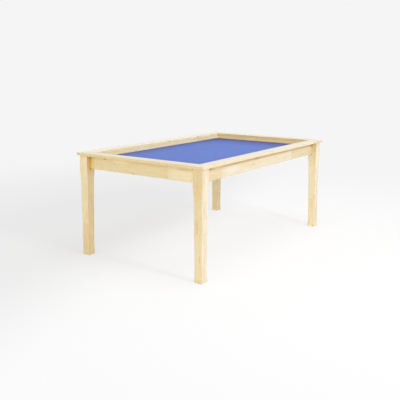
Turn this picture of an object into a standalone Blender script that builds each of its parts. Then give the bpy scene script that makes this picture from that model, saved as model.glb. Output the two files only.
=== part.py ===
"""Board game table with a sunken playing well.

Metres, +Z up. The origin is on the floor under the middle of the table, +X runs along the
table's length and -Y is the front. Every piece is modelled in one of two local frames, both
measured inwards from the outer edge of the rim: a side frame (x along the side, y inwards)
and a corner frame (x and y both inwards from the rim's corner).
"""
import math

import bmesh
import bpy
from mathutils import Matrix, Vector

# Overall size
TABLE_LENGTH = 1.800
TABLE_WIDTH = 1.115
TABLE_HEIGHT = 0.760

# Rim, apron and well liner, stacked inwards from the rim's outer edge
RIM_OVERHANG = 0.015
APRON_SETBACK = 0.035
APRON_THICKNESS = 0.018
LINER_THICKNESS = 0.015
RIM_THICKNESS = 0.020
RIM_EDGE_RADIUS = 0.0025
APRON_HEIGHT = 0.098
APRON_EDGE_RADIUS = 0.002

# Shaped legs, from the square block at the apron down to the flared foot
LEG_BLOCK = 0.074
LEG_BLOCK_DROP = 0.030
LEG_SHOULDER_HEIGHT = 0.065
LEG_SHANK = 0.066
LEG_ANKLE = 0.058
LEG_ANKLE_HEIGHT = 0.095
LEG_FOOT = 0.063
LEG_FOOT_CHAMFER = 0.0015
LEG_EDGE_RADIUS = 0.0025
LEG_INNER_CHAMFER = 0.024

# Foot glides
GLIDE_RADIUS = 0.019
GLIDE_THICKNESS = 0.003
GLIDE_CHAMFER = 0.0008

# Lift-out playing surface
WELL_DEPTH = 0.045
CLOTH_THICKNESS = 0.0012
CLOTH_RETURN = 0.030
UNDERLAY_THICKNESS = 0.003
PANEL_THICKNESS = 0.009
PANEL_CORNER_RADIUS = 0.003
PANEL_CLEARANCE = 0.002

# Ledgers and bearers under the playing surface
LEDGER_WIDTH = 0.020
LEDGER_HEIGHT = 0.016
BEARER_COUNT = 3
BEARER_WIDTH = 0.045
BEARER_DEPTH = 0.032
BEARER_LAP = 0.009

# Corner brackets with their hanger bolts, washers and hexagon nuts
BRACKET_THICKNESS = 0.002
BRACKET_MARGIN = 0.004
BRACKET_STANDOFF = 0.010
BRACKET_TAB = 0.035
BRACKET_LIP = 0.006
BRACKET_BEND_RADIUS = 0.004
BOLT_RADIUS = 0.004
BOLT_EMBED = 0.040
BOLT_TAIL = 0.018
BOLT_POINT = 0.001
WASHER_RADIUS = 0.010
WASHER_THICKNESS = 0.0016
NUT_ACROSS_FLATS = 0.013
NUT_HEIGHT = 0.0065

# Clearances and facets
JOINT_GAP = 0.0003
KERF_GAP = 0.0005
BOLT_HOLE_GAP = 0.0005
ARC_STEPS = 3
CURVE_STEPS = 6
TURNED_STEPS = 24
CUTTER_MARGIN = 0.010

# Distances inwards from the rim's outer edge
APRON_OUTER = RIM_OVERHANG + APRON_SETBACK
APRON_INNER = APRON_OUTER + APRON_THICKNESS
LINER_OUTER = APRON_INNER + JOINT_GAP
RIM_WIDTH = LINER_OUTER + LINER_THICKNESS
LEG_INNER = RIM_OVERHANG + LEG_BLOCK
LEG_CENTRE = RIM_OVERHANG + LEG_BLOCK / 2
LEDGER_OUTER = RIM_WIDTH + JOINT_GAP
LEDGER_INNER = LEDGER_OUTER + LEDGER_WIDTH
CLOTH_EDGE = RIM_WIDTH + PANEL_CLEARANCE
PANEL_EDGE = CLOTH_EDGE + CLOTH_THICKNESS + JOINT_GAP

# Heights above the floor
RIM_BOTTOM = TABLE_HEIGHT - RIM_THICKNESS
FRAME_TOP = RIM_BOTTOM - JOINT_GAP
APRON_BOTTOM = FRAME_TOP - APRON_HEIGHT
CLOTH_TOP = TABLE_HEIGHT - WELL_DEPTH
UNDERLAY_TOP = CLOTH_TOP - CLOTH_THICKNESS - JOINT_GAP
PANEL_TOP = UNDERLAY_TOP - UNDERLAY_THICKNESS - JOINT_GAP
PANEL_BOTTOM = PANEL_TOP - PANEL_THICKNESS
CLOTH_BOTTOM = PANEL_BOTTOM - JOINT_GAP - CLOTH_THICKNESS
LEDGER_TOP = CLOTH_BOTTOM - JOINT_GAP
LEDGER_BOTTOM = LEDGER_TOP - LEDGER_HEIGHT
BRACKET_TOP = LEDGER_BOTTOM - BRACKET_MARGIN
BRACKET_BOTTOM = APRON_BOTTOM + BRACKET_MARGIN
BOLT_HEIGHT = (BRACKET_TOP + BRACKET_BOTTOM) / 2
LEG_BLOCK_BOTTOM = APRON_BOTTOM - LEG_BLOCK_DROP
LEG_SHOULDER_BOTTOM = LEG_BLOCK_BOTTOM - LEG_SHOULDER_HEIGHT
LEG_BOTTOM = GLIDE_THICKNESS + JOINT_GAP

# Distances along the diagonal from the rim's corner to the bracket's parts
LEG_FLAT = (2 * LEG_INNER - LEG_INNER_CHAMFER) / math.sqrt(2)
WEB_OUTER = LEG_FLAT + BRACKET_STANDOFF
WEB_INNER = WEB_OUTER + BRACKET_THICKNESS
WASHER_SEAT = WEB_INNER + JOINT_GAP
NUT_SEAT = WASHER_SEAT + WASHER_THICKNESS + JOINT_GAP

# The tab's line on the apron, where the web leaves it, and the kerf that takes the lip
TAB_LINE = APRON_INNER + JOINT_GAP + BRACKET_THICKNESS / 2
WEB_FOOT = (WEB_OUTER + WEB_INNER) / math.sqrt(2) - TAB_LINE
KERF_LINE = WEB_FOOT + BRACKET_TAB

# Where each side and corner stands, and how far it is turned
QUARTER = math.pi / 2
SIDES = {
    "front": (0, -1, 0 * QUARTER, TABLE_LENGTH),
    "right": (1, 0, 1 * QUARTER, TABLE_WIDTH),
    "back": (0, 1, 2 * QUARTER, TABLE_LENGTH),
    "left": (-1, 0, 3 * QUARTER, TABLE_WIDTH),
}
CORNERS = {
    "front_left": (-1, -1, 0 * QUARTER),
    "front_right": (1, -1, 1 * QUARTER),
    "back_right": (1, 1, 2 * QUARTER),
    "back_left": (-1, 1, 3 * QUARTER),
}

# Finishes: linear base colour, roughness, metallic
FINISHES = {
    "lacquered_wood": ((0.76, 0.61, 0.37), 0.42, 0.0),
    "raw_softwood": ((0.70, 0.53, 0.31), 0.70, 0.0),
    "birch_plywood": ((0.68, 0.52, 0.33), 0.65, 0.0),
    "blue_cloth": ((0.07, 0.11, 0.47), 0.90, 0.0),
    "grey_foam": ((0.10, 0.10, 0.11), 0.95, 0.0),
    "zinc_plated_steel": ((0.62, 0.63, 0.65), 0.35, 1.0),
    "white_nylon": ((0.70, 0.69, 0.65), 0.50, 0.0),
}


def clear_scene():
    for item in list(bpy.data.objects):
        bpy.data.objects.remove(item, do_unlink=True)


def round_corners(corners, closed=True):
    """Replace each corner (x, y, radius) by an arc; a radius of 0 keeps the point."""
    points = []
    count = len(corners)
    for index, (x, y, radius) in enumerate(corners):
        here = Vector((x, y))
        is_end = not closed and index in (0, count - 1)
        if radius == 0 or is_end:
            points.append(here)
            continue
        before = Vector(corners[index - 1][:2]) - here
        after = Vector(corners[(index + 1) % count][:2]) - here
        half_angle = before.angle(after) / 2
        bisector = (before.normalized() + after.normalized()).normalized()
        centre = here + bisector * (radius / math.sin(half_angle))
        tangent = radius / math.tan(half_angle)
        start = here + before.normalized() * tangent - centre
        sweep = start.angle_signed(here + after.normalized() * tangent - centre)
        for step in range(ARC_STEPS + 1):
            turn = Matrix.Rotation(-sweep * step / ARC_STEPS, 2)
            points.append(centre + turn @ start)
    return points


def rounded_rectangle(half_x, half_y, radius):
    signs = ((-1, -1), (1, -1), (1, 1), (-1, 1))
    return round_corners([(sx * half_x, sy * half_y, radius) for sx, sy in signs])


def loft(rings, ring_closed=False):
    """Close a body through rings of 3-D points of equal count, capped or joined end to end."""
    shape = bmesh.new()
    loops = []
    for ring in rings:
        verts = [shape.verts.new(point) for point in ring]
        loops.append(verts)
    followers = loops[1:] + loops[:1] if ring_closed else loops[1:]
    for lower, upper in zip(loops, followers):
        count = len(lower)
        for index in range(count):
            after = (index + 1) % count
            shape.faces.new((lower[index], lower[after], upper[after], upper[index]))
    if not ring_closed:
        shape.faces.new(list(reversed(loops[0])))
        shape.faces.new(loops[-1])
    bmesh.ops.recalc_face_normals(shape, faces=shape.faces)
    return shape


def prism(outline, bottom, top):
    """Extrude a flat outline upwards."""
    rings = []
    for height in (bottom, top):
        rings.append([(x, y, height) for x, y in outline])
    return loft(rings)


def box(low, high):
    outline = ((low[0], low[1]), (high[0], low[1]), (high[0], high[1]), (low[0], high[1]))
    return prism(outline, low[2], high[2])


def rail(profile, half_length, mitred):
    """Run a section of (inwards, height) points along a side; mitred ends follow the corner."""
    rings = []
    for sign in (-1, 1):
        trim = JOINT_GAP / math.sqrt(2)
        ring = []
        for inwards, height in profile:
            end = half_length - inwards - trim if mitred else half_length
            ring.append((sign * end, inwards, height))
        rings.append(ring)
    return loft(rings)


def unit_circle():
    angles = [math.tau * step / TURNED_STEPS for step in range(TURNED_STEPS)]
    return [Vector((math.cos(angle), math.sin(angle))) for angle in angles]


def turned(profile):
    """Turn a profile of (radius, height) points about Z."""
    rings = []
    for radius, height in profile:
        rings.append([(radius * x, radius * y, height) for x, y in unit_circle()])
    return loft(rings)


def tube(outer, inner, bottom, top):
    """Extrude the space between two outlines of equal count."""
    rings = []
    for outline, height in ((outer, bottom), (outer, top), (inner, top), (inner, bottom)):
        rings.append([(x, y, height) for x, y in outline])
    return loft(rings, ring_closed=True)


def along_diagonal(shape, distance):
    """Lay a shape made about Z on the corner's diagonal, at the bolt's height."""
    lay_down = Matrix.Rotation(QUARTER, 4, "Y")
    swing = Matrix.Rotation(QUARTER / 2, 4, "Z")
    lift = Matrix.Translation((0, 0, BOLT_HEIGHT))
    shift = Matrix.Translation((distance, 0, 0))
    bmesh.ops.transform(shape, matrix=lift @ swing @ shift @ lay_down, verts=shape.verts)
    return shape


def mesh_from(shape, name):
    mesh = bpy.data.meshes.new(name)
    shape.to_mesh(mesh)
    shape.free()
    return mesh


def carve(name, shape, cuts):
    """Return the mesh of a shape after Boolean cuts."""
    body = bpy.data.objects.new(name, mesh_from(shape, name))
    bpy.context.collection.objects.link(body)
    tools = []
    for tool in cuts:
        cutter = bpy.data.objects.new(name + "_tool", mesh_from(tool, name + "_tool"))
        cutter.hide_render = True
        cutter.display_type = "WIRE"
        bpy.context.collection.objects.link(cutter)
        modifier = body.modifiers.new("cut", "BOOLEAN")
        modifier.operation = "DIFFERENCE"
        modifier.solver = "EXACT"
        modifier.object = cutter
        tools.append(cutter)
    graph = bpy.context.evaluated_depsgraph_get()
    mesh = bpy.data.meshes.new_from_object(body.evaluated_get(graph))
    mesh.name = name
    for item in tools + [body]:
        bpy.data.objects.remove(item, do_unlink=True)
    return mesh


def make_material(name, finish):
    colour, roughness, metallic = FINISHES[finish]
    material = bpy.data.materials.new(name + "_" + finish)
    material.use_nodes = True
    shader = material.node_tree.nodes["Principled BSDF"]
    shader.inputs["Base Color"].default_value = (*colour, 1.0)
    shader.inputs["Roughness"].default_value = roughness
    shader.inputs["Metallic"].default_value = metallic
    return material


def add_piece(name, mesh, finish, parent, location=(0, 0, 0), angle=0.0):
    piece = bpy.data.objects.new(name, mesh.copy())
    piece.data.name = name
    piece.data.materials.clear()
    piece.data.materials.append(make_material(name, finish))
    piece.data.shade_smooth()
    piece.data.set_sharp_from_angle(angle=math.radians(30))
    bpy.context.collection.objects.link(piece)
    piece.parent = parent
    piece.location = location
    piece.rotation_euler = (0, 0, angle)
    return piece


def add_empty(name, location):
    empty = bpy.data.objects.new(name, None)
    empty.location = location
    bpy.context.collection.objects.link(empty)
    return empty


def add_at_side(side, name, shape_mesh, finish, parent):
    along, across, angle, _ = SIDES[side]
    spot = (along * TABLE_LENGTH / 2, across * TABLE_WIDTH / 2, 0)
    return add_piece(name + "_" + side, shape_mesh, finish, parent, spot, angle)


def add_at_corners(name, mesh, finish, parent):
    for corner, (along, across, angle) in CORNERS.items():
        spot = (along * TABLE_LENGTH / 2, across * TABLE_WIDTH / 2, 0)
        add_piece(name + "_" + corner, mesh, finish, parent, spot, angle)


def bearer_places():
    pitch = (TABLE_LENGTH - 2 * RIM_WIDTH) / (BEARER_COUNT + 1)
    middle = (BEARER_COUNT - 1) / 2
    return [(index - middle) * pitch for index in range(BEARER_COUNT)]


def leg_width(height):
    """Leg width: a soft S at the shoulder, a straight taper, then a parabola to the foot."""
    if height >= LEG_BLOCK_BOTTOM:
        return LEG_BLOCK
    if height >= LEG_SHOULDER_BOTTOM:
        share = (LEG_BLOCK_BOTTOM - height) / LEG_SHOULDER_HEIGHT
        return LEG_BLOCK + (LEG_SHANK - LEG_BLOCK) * (1 - math.cos(math.pi * share)) / 2
    if height >= LEG_ANKLE_HEIGHT:
        share = (LEG_SHOULDER_BOTTOM - height) / (LEG_SHOULDER_BOTTOM - LEG_ANKLE_HEIGHT)
        return LEG_SHANK + (LEG_ANKLE - LEG_SHANK) * share
    share = (LEG_ANKLE_HEIGHT - height) / (LEG_ANKLE_HEIGHT - LEG_BOTTOM)
    return LEG_ANKLE + (LEG_FOOT - LEG_ANKLE) * share ** 2


def leg_ring(height, inset=0.0):
    half = leg_width(height) / 2 - inset
    outline = rounded_rectangle(half, half, LEG_EDGE_RADIUS)
    return [(LEG_CENTRE + x, LEG_CENTRE + y, height) for x, y in outline]


def leg_mesh():
    """Loft the leg, then cut the liner's notch, the bolt's flat and the bolt's hole."""
    rings = [leg_ring(LEG_BOTTOM, LEG_FOOT_CHAMFER)]
    for step in range(CURVE_STEPS):
        share = step / CURVE_STEPS
        foot = LEG_BOTTOM + LEG_FOOT_CHAMFER
        rings.append(leg_ring(foot + (LEG_ANKLE_HEIGHT - foot) * share))
    rings.append(leg_ring(LEG_ANKLE_HEIGHT))
    for step in range(CURVE_STEPS + 1):
        rings.append(leg_ring(LEG_SHOULDER_BOTTOM + LEG_SHOULDER_HEIGHT * step / CURVE_STEPS))
    rings.append(leg_ring(FRAME_TOP))

    notch_face = LINER_OUTER - JOINT_GAP
    past_leg = LEG_INNER + CUTTER_MARGIN
    past_top = FRAME_TOP + CUTTER_MARGIN
    notch = box((notch_face, notch_face, LEDGER_BOTTOM - JOINT_GAP), (past_leg, past_leg, past_top))

    flat = box((LEG_FLAT, -LEG_BLOCK, APRON_BOTTOM), (LEG_FLAT + LEG_BLOCK, LEG_BLOCK, past_top))
    swing = Matrix.Rotation(QUARTER / 2, 4, "Z")
    bmesh.ops.transform(flat, matrix=swing, verts=flat.verts)

    hole_radius = BOLT_RADIUS + JOINT_GAP
    hole = turned(((hole_radius, 0), (hole_radius, BOLT_EMBED + JOINT_GAP + CUTTER_MARGIN)))
    along_diagonal(hole, LEG_FLAT - BOLT_EMBED - JOINT_GAP)
    return carve("leg", loft(rings), cuts=(notch, flat, hole))


def glide_mesh():
    low_radius = GLIDE_RADIUS - GLIDE_CHAMFER
    profile = ((low_radius, 0), (GLIDE_RADIUS, GLIDE_CHAMFER), (GLIDE_RADIUS, GLIDE_THICKNESS))
    shape = turned(profile)
    bmesh.ops.translate(shape, vec=(LEG_CENTRE, LEG_CENTRE, 0), verts=shape.verts)
    return mesh_from(shape, "glide")


def rim_mesh(length):
    profile = round_corners((
        (0, RIM_BOTTOM, RIM_EDGE_RADIUS),
        (RIM_WIDTH, RIM_BOTTOM, 0),
        (RIM_WIDTH, TABLE_HEIGHT, RIM_EDGE_RADIUS),
        (0, TABLE_HEIGHT, RIM_EDGE_RADIUS),
    ))
    return mesh_from(rail(profile, length / 2, mitred=True), "rim")


def apron_mesh(length):
    """A board between two legs, its lower edges eased, with a kerf for each bracket lip."""
    profile = round_corners((
        (APRON_OUTER, APRON_BOTTOM, APRON_EDGE_RADIUS),
        (APRON_INNER, APRON_BOTTOM, APRON_EDGE_RADIUS),
        (APRON_INNER, FRAME_TOP, 0),
        (APRON_OUTER, FRAME_TOP, 0),
    ))
    board = rail(profile, length / 2 - LEG_INNER - JOINT_GAP, mitred=False)
    half_kerf = BRACKET_THICKNESS / 2 + KERF_GAP
    kerfs = []
    for sign in (-1, 1):
        middle = sign * (length / 2 - KERF_LINE)
        low = (middle - half_kerf, APRON_INNER - BRACKET_LIP - KERF_GAP, APRON_BOTTOM - CUTTER_MARGIN)
        high = (middle + half_kerf, APRON_INNER + CUTTER_MARGIN, BRACKET_TOP + KERF_GAP)
        kerfs.append(box(low, high))
    return carve("apron", board, cuts=kerfs)


def liner_mesh(length):
    profile = (
        (LINER_OUTER, LEDGER_BOTTOM),
        (RIM_WIDTH, LEDGER_BOTTOM),
        (RIM_WIDTH, FRAME_TOP),
        (LINER_OUTER, FRAME_TOP),
    )
    return mesh_from(rail(profile, length / 2, mitred=True), "liner")


def ledger_mesh(half_length, notches):
    """A strip along the liner; each notch takes the lapped end of a bearer."""
    profile = (
        (LEDGER_OUTER, LEDGER_BOTTOM),
        (LEDGER_INNER, LEDGER_BOTTOM),
        (LEDGER_INNER, LEDGER_TOP),
        (LEDGER_OUTER, LEDGER_TOP),
    )
    half_notch = BEARER_WIDTH / 2 + JOINT_GAP
    floor = LEDGER_TOP - BEARER_LAP - JOINT_GAP
    cuts = []
    for place in notches:
        low = (place - half_notch, LEDGER_OUTER - CUTTER_MARGIN, floor)
        high = (place + half_notch, LEDGER_INNER + CUTTER_MARGIN, LEDGER_TOP + CUTTER_MARGIN)
        cuts.append(box(low, high))
    return carve("ledger", rail(profile, half_length, mitred=False), cuts=cuts)


def bearer_mesh():
    """A cross rail whose ends are half-lapped to lie in the ledgers' notches."""
    half = BEARER_WIDTH / 2
    reach = TABLE_WIDTH / 2 - LEDGER_OUTER
    shoulder = TABLE_WIDTH / 2 - LEDGER_INNER - JOINT_GAP
    lap = LEDGER_TOP - BEARER_LAP
    low = LEDGER_TOP - BEARER_DEPTH
    outline = (
        (-reach, LEDGER_TOP), (-reach, lap), (-shoulder, lap), (-shoulder, low),
        (shoulder, low), (shoulder, lap), (reach, lap), (reach, LEDGER_TOP),
    )
    rings = []
    for x in (-half, half):
        rings.append([(x, y, z) for y, z in outline])
    return mesh_from(loft(rings), "bearer")


def play_outline(edge, radius):
    return rounded_rectangle(TABLE_LENGTH / 2 - edge, TABLE_WIDTH / 2 - edge, radius)


def play_meshes():
    """The panel and its underlay, and the cloth drawn over them and turned in beneath."""
    inner_radius = PANEL_CORNER_RADIUS + JOINT_GAP
    outer_radius = inner_radius + CLOTH_THICKNESS
    panel = prism(play_outline(PANEL_EDGE, PANEL_CORNER_RADIUS), PANEL_BOTTOM, PANEL_TOP)
    underlay_bottom = UNDERLAY_TOP - UNDERLAY_THICKNESS
    underlay = prism(play_outline(PANEL_EDGE, PANEL_CORNER_RADIUS), underlay_bottom, UNDERLAY_TOP)
    cover = prism(play_outline(CLOTH_EDGE, outer_radius), CLOTH_BOTTOM, CLOTH_TOP)
    pocket_edge = CLOTH_EDGE + CLOTH_THICKNESS
    pocket_top = CLOTH_TOP - CLOTH_THICKNESS
    pocket = prism(play_outline(pocket_edge, inner_radius), CLOTH_BOTTOM + CLOTH_THICKNESS, pocket_top)
    hatch_edge = CLOTH_EDGE + CLOTH_RETURN
    hatch = prism(play_outline(hatch_edge, inner_radius), CLOTH_BOTTOM - CUTTER_MARGIN, PANEL_TOP)
    cloth = carve("cloth", cover, cuts=(pocket, hatch))
    return mesh_from(panel, "panel"), mesh_from(underlay, "underlay"), cloth


def bracket_path():
    """Half of the bracket's bent centre line: lip, tab on the apron, then the web."""
    lip_end = (KERF_LINE, APRON_INNER - BRACKET_LIP, 0)
    lip_bend = (KERF_LINE, TAB_LINE, BRACKET_THICKNESS)
    web_bend = (WEB_FOOT, TAB_LINE, BRACKET_BEND_RADIUS)
    return (lip_end, lip_bend, web_bend)


def bracket_mesh():
    """Bend a steel strip along the centre line and its mirror, then bore the bolt's hole."""
    near = bracket_path()
    far = tuple((y, x, radius) for x, y, radius in reversed(near))
    line = round_corners(near + far, closed=False)
    left_edge = []
    right_edge = []
    for index, point in enumerate(line):
        before = line[max(index - 1, 0)]
        after = line[min(index + 1, len(line) - 1)]
        heading_in = (point - before).normalized() if index > 0 else (after - point).normalized()
        heading_out = (after - point).normalized() if index < len(line) - 1 else heading_in
        heading = (heading_in + heading_out).normalized()
        reach = BRACKET_THICKNESS / 2 / heading.dot(heading_in)
        normal = Vector((-heading.y, heading.x)) * reach
        left_edge.append(point + normal)
        right_edge.append(point - normal)
    strip = prism(left_edge + right_edge[::-1], BRACKET_BOTTOM, BRACKET_TOP)
    radius = BOLT_RADIUS + BOLT_HOLE_GAP
    hole = turned(((radius, 0), (radius, BRACKET_THICKNESS + 2 * CUTTER_MARGIN)))
    along_diagonal(hole, WEB_OUTER - CUTTER_MARGIN)
    return carve("bracket", strip, cuts=(hole,))


def bolt_mesh():
    start = LEG_FLAT - BOLT_EMBED
    length = NUT_SEAT + BOLT_TAIL - start
    tip = BOLT_RADIUS - BOLT_POINT
    profile = ((tip, 0), (BOLT_RADIUS, BOLT_POINT), (BOLT_RADIUS, length - BOLT_POINT), (tip, length))
    return mesh_from(along_diagonal(turned(profile), start), "bolt")


def bolt_hole_outline(clearance):
    return [(BOLT_RADIUS + clearance) * point for point in unit_circle()]


def washer_mesh():
    outer = [WASHER_RADIUS * point for point in unit_circle()]
    shape = tube(outer, bolt_hole_outline(BOLT_HOLE_GAP), 0, WASHER_THICKNESS)
    return mesh_from(along_diagonal(shape, WASHER_SEAT), "washer")


def nut_mesh():
    """A hexagon nut: its outline lies at half the width over flats, over the cosine of the
    angle from the nearest flat's middle."""
    outer = []
    for index, point in enumerate(unit_circle()):
        from_flat = (math.tau * index / TURNED_STEPS + math.pi / 6) % (math.pi / 3) - math.pi / 6
        outer.append(point * NUT_ACROSS_FLATS / 2 / math.cos(from_flat))
    shape = tube(outer, bolt_hole_outline(JOINT_GAP), 0, NUT_HEIGHT)
    return mesh_from(along_diagonal(shape, NUT_SEAT), "nut")


def build_frame():
    frame = add_empty("table_frame", (0, 0, 0))
    add_at_corners("leg", leg_mesh(), "lacquered_wood", frame)
    add_at_corners("foot_glide", glide_mesh(), "white_nylon", frame)
    add_at_corners("corner_bracket", bracket_mesh(), "zinc_plated_steel", frame)
    add_at_corners("hanger_bolt", bolt_mesh(), "zinc_plated_steel", frame)
    add_at_corners("washer", washer_mesh(), "zinc_plated_steel", frame)
    add_at_corners("hex_nut", nut_mesh(), "zinc_plated_steel", frame)
    for side, (_, across, _, length) in SIDES.items():
        is_long = across != 0
        add_at_side(side, "rim", rim_mesh(length), "lacquered_wood", frame)
        add_at_side(side, "apron", apron_mesh(length), "lacquered_wood", frame)
        add_at_side(side, "well_liner", liner_mesh(length), "lacquered_wood", frame)
        ledger_end = LEDGER_OUTER if is_long else LEDGER_INNER + JOINT_GAP
        notches = bearer_places() if is_long else ()
        ledger = ledger_mesh(length / 2 - ledger_end, notches)
        add_at_side(side, "ledger", ledger, "raw_softwood", frame)
    for number, place in enumerate(bearer_places(), start=1):
        add_piece(f"bearer_{number}", bearer_mesh(), "raw_softwood", frame, (place, 0, 0))


def build_play_surface():
    """The lift-out surface; its empty stands on the line along which it is lifted."""
    lift = add_empty("play_surface_lift", (0, 0, CLOTH_BOTTOM))
    panel, underlay, cloth = play_meshes()
    back_to_floor = (0, 0, -CLOTH_BOTTOM)
    add_piece("play_panel", panel, "birch_plywood", lift, back_to_floor)
    add_piece("play_underlay", underlay, "grey_foam", lift, back_to_floor)
    add_piece("play_cloth", cloth, "blue_cloth", lift, back_to_floor)


clear_scene()
build_frame()
build_play_surface()
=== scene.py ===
"""Board game table: the looks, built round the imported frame.

Lengths are in metres, in the CAD frame: the origin is on the floor under the table's middle, +X runs
along the table, -Y is the front long side and +Z is up.
"""
import math

import bmesh
import bpy
import numpy as np
from mathutils import Matrix, Vector


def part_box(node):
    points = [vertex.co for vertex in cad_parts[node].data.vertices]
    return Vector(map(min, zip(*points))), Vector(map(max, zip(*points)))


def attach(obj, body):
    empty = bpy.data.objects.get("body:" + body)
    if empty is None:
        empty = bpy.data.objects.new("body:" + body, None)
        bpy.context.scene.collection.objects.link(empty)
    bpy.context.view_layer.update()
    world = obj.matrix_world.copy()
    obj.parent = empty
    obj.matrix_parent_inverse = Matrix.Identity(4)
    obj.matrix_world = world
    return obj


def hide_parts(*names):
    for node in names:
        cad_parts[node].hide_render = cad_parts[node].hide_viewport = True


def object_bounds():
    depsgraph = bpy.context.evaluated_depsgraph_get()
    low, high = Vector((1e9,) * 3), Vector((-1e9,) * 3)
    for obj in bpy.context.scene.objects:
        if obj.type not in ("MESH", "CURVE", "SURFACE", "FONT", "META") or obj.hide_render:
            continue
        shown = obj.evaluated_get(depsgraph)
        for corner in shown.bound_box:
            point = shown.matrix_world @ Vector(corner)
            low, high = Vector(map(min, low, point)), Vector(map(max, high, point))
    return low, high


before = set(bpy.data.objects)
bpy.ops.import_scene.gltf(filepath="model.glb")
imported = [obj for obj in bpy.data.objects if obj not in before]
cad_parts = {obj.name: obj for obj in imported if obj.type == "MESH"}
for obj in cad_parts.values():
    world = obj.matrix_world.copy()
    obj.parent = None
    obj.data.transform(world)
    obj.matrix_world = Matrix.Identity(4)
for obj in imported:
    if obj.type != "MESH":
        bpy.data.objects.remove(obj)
cad_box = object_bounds()

# Sizes taken from the frame; the leg's faces are given as distances in from the table's end
HALF_LENGTH = cad_box[1].x
HALF_WIDTH = cad_box[1].y
RIM_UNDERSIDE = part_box("rim_front")[0].z
RIM_WIDTH = HALF_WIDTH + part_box("rim_front")[1].y
APRON_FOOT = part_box("apron_front")[0].z
LEG_INSIDE = HALF_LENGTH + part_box("leg_front_left")[1].x
LEG_OUTSIDE = HALF_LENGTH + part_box("leg_front_left")[0].x
CLOTH_LOW, CLOTH_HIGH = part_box("play_cloth")
FOAM_LOW, FOAM_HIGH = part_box("play_underlay")
BRACKET_LOW, BRACKET_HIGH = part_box("corner_bracket_front_left")
BOLT_LEVEL = (BRACKET_LOW.z + BRACKET_HIGH.z) / 2
CORNERS = {
    "front_left": (-1, -1),
    "front_right": (1, -1),
    "back_right": (1, 1),
    "back_left": (-1, 1),
}
SIDES = ("front", "right", "back", "left")
BEARERS = (1, 2, 3)
X, Y, Z = 0, 1, 2
MERGE_DISTANCE = 1e-7


def colour(code):
    """Linear RGBA of an sRGB hex colour: c / 12.92 near black, else ((c + 0.055) / 1.055) ^ 2.4."""
    channels = np.array([int(code[place:place + 2], 16) for place in (1, 3, 5)]) / 255
    linear = np.where(channels < 0.04045, channels / 12.92, ((channels + 0.055) / 1.055) ** 2.4)
    return (*linear.tolist(), 1.0)


def wire(tree, kind, inputs=None, out=0, **settings):
    """Add one node with its settings, fill its inputs with values or links, and return an output.

    Inputs go by name or number. Map Range has its value on 0, the value's range on 1 and 2 and the
    new range on 3 and 4. Mix has its two colours on 6 and 7, and the mixed colour on output 2.
    """
    node = tree.nodes.new(kind)
    for name, value in settings.items():
        setattr(node, name, value)
    for key, value in (inputs or {}).items():
        if isinstance(value, bpy.types.NodeSocket):
            tree.links.new(value, node.inputs[key])
        else:
            node.inputs[key].default_value = value
    return node.outputs[out] if len(node.outputs) else None


def new_material(name):
    """An empty node material and its tree."""
    material = bpy.data.materials.new(name)
    material.use_nodes = True
    material.node_tree.nodes.clear()
    return material, material.node_tree


def tones(ramp, stops):
    """Set the stops of a colour ramp, given as (position, hex) pairs."""
    elements = ramp.node.color_ramp.elements
    while len(elements) < len(stops):
        elements.new(1.0)
    for element, (position, code) in zip(elements, stops):
        element.position = position
        element.color = colour(code)
    return ramp


def skin(name, points):
    """A mesh object over grids of points, shaped copies x rows x columns x 3.

    The cell between neighbouring rows and columns of one copy is one face, and the last column
    joins the first. Points that fall together, at poles and seams, are merged, and all faces are
    then turned outwards.
    """
    copies, rows, columns = points.shape[:3]
    index = np.arange(copies * rows * columns).reshape(copies, rows, columns)
    below = np.roll(index, -1, axis=1)
    right = np.roll(index, -1, axis=2)
    opposite = np.roll(below, -1, axis=2)
    cells = np.stack((index, right, opposite, below), axis=-1)[:, :-1]
    mesh = bpy.data.meshes.new(name)
    mesh.from_pydata(points.reshape(-1, 3).tolist(), [], cells.reshape(-1, 4).tolist())
    shape = bmesh.new()
    shape.from_mesh(mesh)
    bmesh.ops.remove_doubles(shape, verts=shape.verts, dist=MERGE_DISTANCE)
    bmesh.ops.recalc_face_normals(shape, faces=shape.faces)
    shape.to_mesh(mesh)
    shape.free()
    mesh.polygons.foreach_set("use_smooth", np.ones(len(mesh.polygons), dtype=bool))
    piece = bpy.data.objects.new(name, mesh)
    bpy.context.collection.objects.link(piece)
    return piece


def rounded_loop(half_x, half_y, radius, per_side=24, per_corner=7):
    """Points round a rectangle with round corners: each corner is a quarter circle about its own
    centre, and the straight between two corners is divided evenly."""
    turn = np.linspace(0, np.pi / 2, per_corner)
    quarter = np.stack((np.cos(turn), np.sin(turn)), axis=-1)
    loops = []
    for sign_x, sign_y, backwards in ((1, 1, False), (-1, 1, True), (-1, -1, False), (1, -1, True)):
        signs = np.array((sign_x, sign_y))
        arc = quarter[::-1] if backwards else quarter
        centre = signs * (half_x - radius, half_y - radius)
        loops.append(arc * signs * radius + centre)
    starts = np.concatenate([loop[-1:] for loop in loops])
    ends = np.concatenate([loop[:1] for loop in loops[1:] + loops[:1]])
    share = np.linspace(0, 1, per_side + 2)[1:-1, None]
    straights = starts[:, None] + (ends - starts)[:, None] * share
    return np.concatenate([np.concatenate(pair) for pair in zip(loops, straights)])


def at_corner(sign_x, sign_y, along, inward):
    """The plan point at two distances from a rim corner, measured along the two outer edges."""
    return sign_x * (HALF_LENGTH - along), sign_y * (HALF_WIDTH - inward)


def facing(direction):
    """A turn that carries +Z to a level or upright direction, as a 3 x 3 array."""
    return np.array(Vector((0, 0, 1)).rotation_difference(Vector(direction)).to_matrix())


def placed(shape, turns, places):
    """Copies of one grid of points, each turned about the origin and then moved to its place."""
    return np.einsum("nij,rcj->nrci", np.array(turns), shape) + np.array(places)[:, None, None]


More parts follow.
